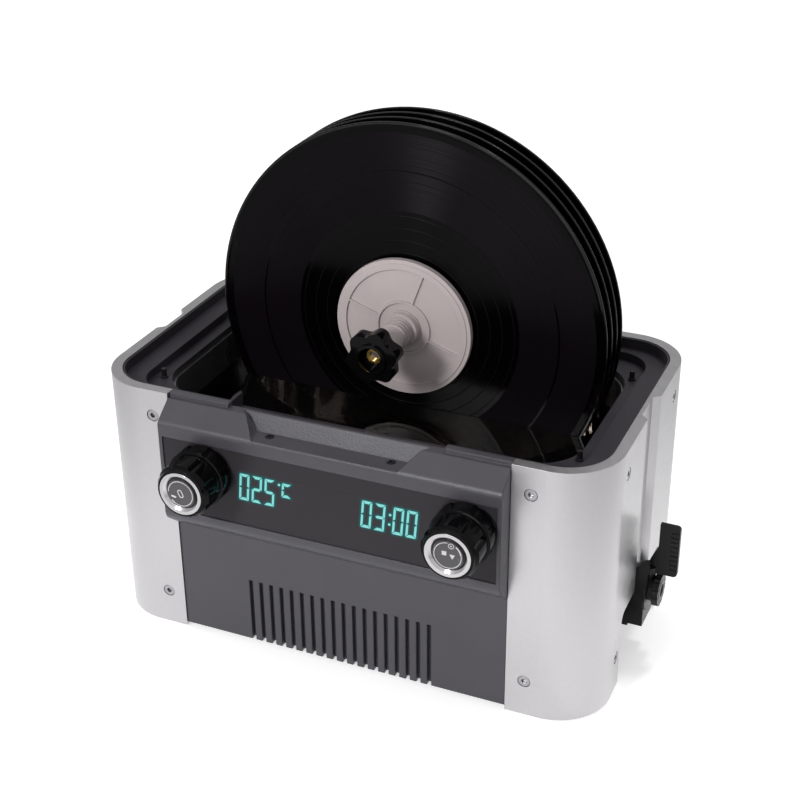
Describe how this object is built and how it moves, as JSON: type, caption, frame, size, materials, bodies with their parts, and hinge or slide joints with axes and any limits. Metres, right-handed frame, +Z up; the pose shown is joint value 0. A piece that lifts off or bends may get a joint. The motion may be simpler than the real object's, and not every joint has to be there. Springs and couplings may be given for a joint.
{
  "type": "record cleaning machine",
  "caption": "Ultrasonic record cleaning machine: open steel tank in a rounded aluminium casing, geared spindle turning vinyl records on edge, sloping control head with knobs, side drain valve.",
  "frame": {"origin": "bottom centre of the whole machine's box, on the surface that the feet stand on", "axes": "+X to the right along the front, +Y to the back, +Z up; the spindle runs along Y"},
  "size_m": [0.4078, 0.2686, 0.3708],
  "materials": {
    "satin_aluminium": "bead-blasted and clear anodised",
    "raw_aluminium": "as extruded or turned",
    "turned_aluminium": "turned bright",
    "bright_steel": "bright stainless",
    "tank_steel": "drawn stainless sheet",
    "frame_steel": "dark zinc",
    "grey_plastic": "fine moulded texture",
    "window_plastic": "smoked, satin",
    "lit_digits": "lit segments",
    "face_plastic": "dark lens",
    "knob_plastic": "gloss black",
    "black_plastic": "moulded black",
    "red_plastic": "moulded red",
    "component_plastic": "sleeved components",
    "cover_plastic": "pale grey moulded",
    "pipe_plastic": "natural",
    "gear_nylon": "natural",
    "record_vinyl": "grooved black vinyl",
    "circuit_board": "solder mask",
    "piezo_ceramic": "fired ceramic",
    "black_rubber": "matt",
    "red_silicone": "silicone sheet",
    "brass": "machined",
    "sintered_bronze": "sintered"
  },
  "bodies": {
    "root": {"left_side_wrap": "satin_aluminium", "right_side_wrap": "satin_aluminium", "wrap_screws": "bright_steel", "corner_brackets": "frame_steel", "lower_front_panel": "grey_plastic", "control_head": "grey_plastic", "display_window": "window_plastic", "display_digits": "lit_digits", "display_board": "circuit_board", "top_frame": "grey_plastic", "top_screws": "frame_steel", "tank": "tank_steel", "tank_gasket": "black_rubber", "rear_panel": "grey_plastic", "base_plate": "frame_steel", "feet": "black_rubber", "transducer_front_masses": "raw_aluminium", "piezo_rings": "piezo_ceramic", "transducer_back_masses": "frame_steel", "heater_pad": "red_silicone", "generator_board": "circuit_board", "generator_heatsink": "raw_aluminium", "generator_parts": "component_plastic", "mains_inlet": "black_plastic", "switch_bezel": "black_plastic", "fan_frame": "black_plastic", "drain_pipe": "pipe_plastic", "valve_body": "black_plastic", "outlet_nut": "black_plastic", "outlet_nozzle": "bright_steel", "recess_panel": "grey_plastic", "encoders": "raw_aluminium", "drive_housing": "grey_plastic", "drive_cover": "grey_plastic", "gear_motor": "frame_steel", "shaft_bushes": "sintered_bronze"},
    "spindle": {"spindle_shaft": "bright_steel", "spindle_gear": "gear_nylon", "record_1": "record_vinyl", "record_2": "record_vinyl", "record_3": "record_vinyl", "record_4": "record_vinyl", "record_spacers": "cover_plastic", "label_covers": "cover_plastic", "clamp_sleeve": "cover_plastic"},
    "pinion": {"motor_pinion": "brass"},
    "clamp_insert": {"knob_insert": "brass"},
    "clamp_knob": {"star_knob": "knob_plastic"},
    "fan": {"fan_rotor": "black_plastic"},
    "left_press": {"left_shaft": "bright_steel"},
    "left_dial": {"left_knob": "knob_plastic", "left_knob_ring": "turned_aluminium", "left_knob_face": "face_plastic"},
    "right_press": {"right_shaft": "bright_steel"},
    "right_dial": {"right_knob": "knob_plastic", "right_knob_ring": "turned_aluminium", "right_knob_face": "face_plastic"},
    "drain_tap": {"drain_lever": "black_plastic", "valve_ball": "bright_steel"},
    "rocker": {"power_rocker": "red_plastic"}
  },
  "joints": [
    {"name": "spindle_turn", "type": "hinge", "parent": "root", "child": "spindle", "pos_m": [-0.0129, 0.09675, 0.22], "axis": [0, 1, 0], "continuous": true},
    {"name": "pinion_turn", "type": "hinge", "parent": "root", "child": "pinion", "pos_m": [-0.0129, 0.12265, 0.25225], "axis": [0, 1, 0], "continuous": true},
    {"name": "clamp_travel", "type": "slide", "parent": "spindle", "child": "clamp_insert", "axis": [0, -1, 0], "range_m": [0, 0.006]},
    {"name": "clamp_turn", "type": "hinge", "parent": "clamp_insert", "child": "clamp_knob", "pos_m": [-0.0129, -0.01425, 0.22], "axis": [0, -1, 0], "range_deg": [0, 1440]},
    {"name": "fan_turn", "type": "hinge", "parent": "root", "child": "fan", "pos_m": [0.0491, 0.11975, 0.031], "axis": [0, 1, 0], "continuous": true},
    {"name": "left_knob_press", "type": "slide", "parent": "root", "child": "left_press", "axis": [0, 1, 0], "range_m": [0, 0.0006], "stiffness_N_per_m": 1500, "springref_m": -0.001},
    {"name": "left_knob_turn", "type": "hinge", "parent": "left_press", "child": "left_dial", "pos_m": [-0.1039, -0.11, 0.1535], "axis": [0, -1, 0], "continuous": true},
    {"name": "right_knob_press", "type": "slide", "parent": "root", "child": "right_press", "axis": [0, 1, 0], "range_m": [0, 0.0006], "stiffness_N_per_m": 1500, "springref_m": -0.001},
    {"name": "right_knob_turn", "type": "hinge", "parent": "right_press", "child": "right_dial", "pos_m": [0.0901, -0.11, 0.1535], "axis": [0, -1, 0], "continuous": true},
    {"name": "drain_lever_turn", "type": "hinge", "parent": "root", "child": "drain_tap", "pos_m": [0.1836, 0.02475, 0.09], "axis": [0, 0, 1], "range_deg": [0, 90]},
    {"name": "power_rocker_tilt", "type": "hinge", "parent": "root", "child": "rocker", "pos_m": [-0.0649, 0.12525, 0.031], "axis": [1, 0, 0], "range_deg": [-16, 0]}
  ],
  "couplings": [
    {"joint": "pinion_turn", "follows": "spindle_turn", "ratio": -3},
    {"joint": "clamp_travel", "follows": "clamp_turn", "m_per_rad": 0.00023873}
  ]
}
